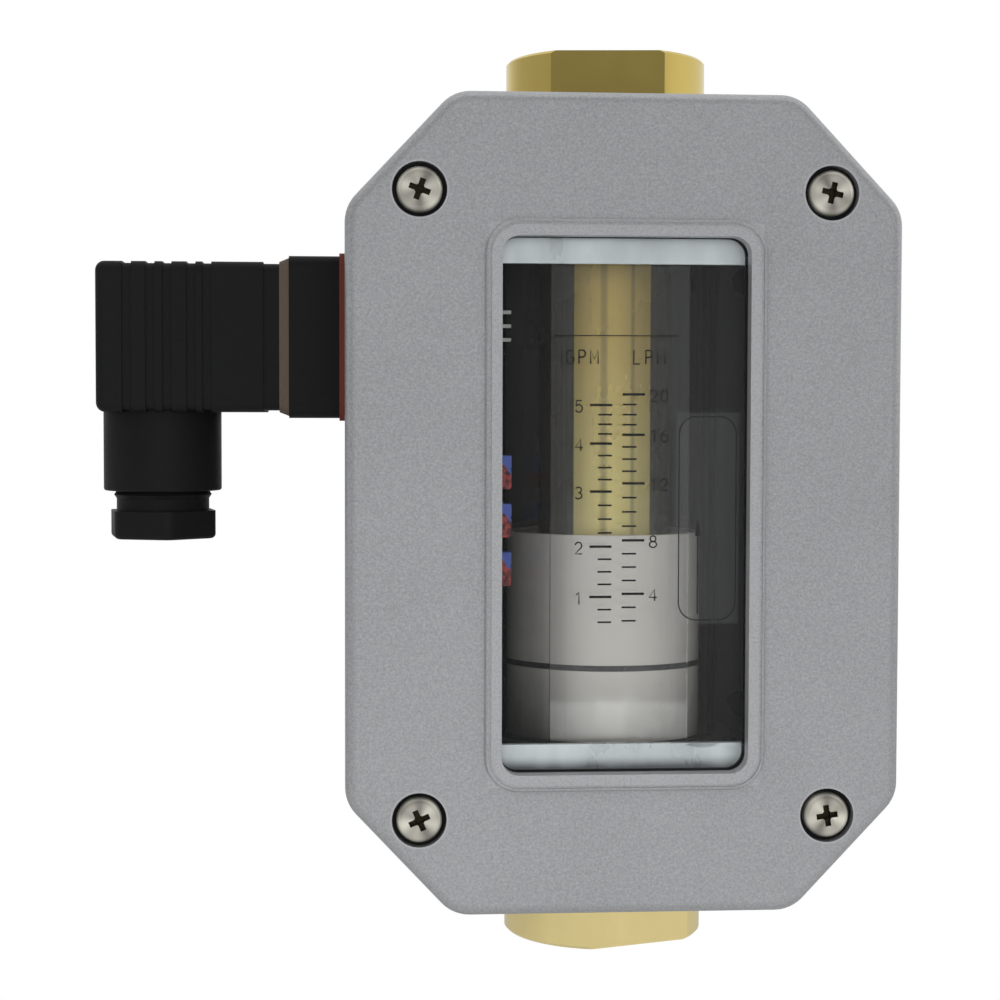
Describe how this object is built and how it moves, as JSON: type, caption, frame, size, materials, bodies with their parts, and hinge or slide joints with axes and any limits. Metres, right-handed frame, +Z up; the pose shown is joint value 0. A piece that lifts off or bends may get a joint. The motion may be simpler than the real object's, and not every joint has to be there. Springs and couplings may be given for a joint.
{
  "type": "in-line flow transmitter",
  "caption": "In-line piston flow meter in brass with a windowed grey enclosure, a magnetic indicator behind the window and a side plug connector.",
  "frame": {"origin": "centre of the inlet port's face, at the bottom of the meter", "axes": "+Z up along the flow, from inlet to outlet; -Y out of the window; -X along the electrical connector"},
  "size_m": [0.1461, 0.0748, 0.1676],
  "materials": {
    "grey_paint": "fine speckled silver-grey",
    "black_rubber": "matt",
    "stainless": "turned",
    "clear_glass": "clear",
    "zinc_plate": "bright zinc",
    "black_steel": "black oxide",
    "brass": "machined",
    "black_plastic": "matt",
    "clear_plastic": "clear",
    "white_plastic": "satin",
    "magnet": "ground",
    "green_board": "satin",
    "chip_black": "matt",
    "blue_plastic": "satin",
    "red_lacquer": "lacquer",
    "tin": "tinned",
    "red_rubber": "matt",
    "connector_black": "fine moulded grain",
    "brown_rubber": "matt"
  },
  "bodies": {
    "meter": {"base_gasket": "red_rubber", "base_screws": "zinc_plate", "board_screws": "zinc_plate", "body_seal": "black_rubber", "carrier": "black_plastic", "carrier_screws": "black_steel", "connector_base": "connector_black", "connector_wires": "black_rubber", "contact_blades": "tin", "cover_gasket": "black_rubber", "cover_screw_seals": "black_rubber", "cover_screws": "stainless", "flow_body": "brass", "front_cover": "grey_paint", "gland_grommet": "black_rubber", "header_block": "black_plastic", "header_pins": "tin", "inlet_port_seal": "black_rubber", "inlet_spider": "stainless", "lower_tube_seat": "black_plastic", "metering_cone": "stainless", "outlet_fitting": "brass", "outlet_port_seal": "black_rubber", "outlet_spider": "stainless", "plug_gasket": "brown_rubber", "plug_housing": "connector_black", "plug_screw": "zinc_plate", "plug_screw_seal": "black_rubber", "rear_housing": "grey_paint", "retainer_screws": "zinc_plate", "return_spring": "stainless", "sensor_board": "green_board", "sensor_chips": "chip_black", "sight_strip": "clear_plastic", "sight_tube": "clear_plastic", "spider_rings": "stainless", "terminal_block": "black_plastic", "terminal_insert": "black_plastic", "transmitter_board": "green_board", "trimmer_seals": "red_lacquer", "trimmers": "blue_plastic", "tube_seals": "black_rubber", "upper_tube_seat": "black_plastic", "window_gasket": "black_rubber", "window_pane": "clear_glass", "window_retainer": "zinc_plate"},
    "piston_body": {"piston": "brass", "piston_magnet": "magnet", "piston_cap": "brass"},
    "indicator_body": {"indicator_core": "white_plastic", "indicator_sleeve_lower": "white_plastic", "indicator_sleeve_upper": "white_plastic", "indicator_line": "black_plastic", "indicator_magnet": "magnet"},
    "gland_washer_body": {"gland_washer": "zinc_plate"},
    "gland_nut_body": {"gland_nut": "connector_black"}
  },
  "joints": [
    {"name": "piston_slide", "type": "slide", "parent": "meter", "child": "piston_body", "axis": [0, 0, 1], "range_m": [0, 0.0508], "stiffness_N_per_m": 60, "springref_m": -0.02, "deforming": ["return_spring"]},
    {"name": "indicator_slide", "type": "slide", "parent": "meter", "child": "indicator_body", "axis": [0, 0, 1], "range_m": [0, 0.0508]},
    {"name": "gland_washer_slide", "type": "slide", "parent": "meter", "child": "gland_washer_body", "axis": [0, 0, 1], "range_m": [0, 0.00282], "deforming": ["gland_grommet"]},
    {"name": "gland_nut_turn", "type": "hinge", "parent": "gland_washer_body", "child": "gland_nut_body", "pos_m": [-0.08485, 0, 0.07645], "axis": [0, 0, 1], "range_deg": [0, 750]}
  ],
  "couplings": [
    {"joint": "indicator_slide", "follows": "piston_slide", "ratio": 1},
    {"joint": "gland_nut_turn", "follows": "gland_washer_slide", "rad_per_m": 4456.2}
  ]
}
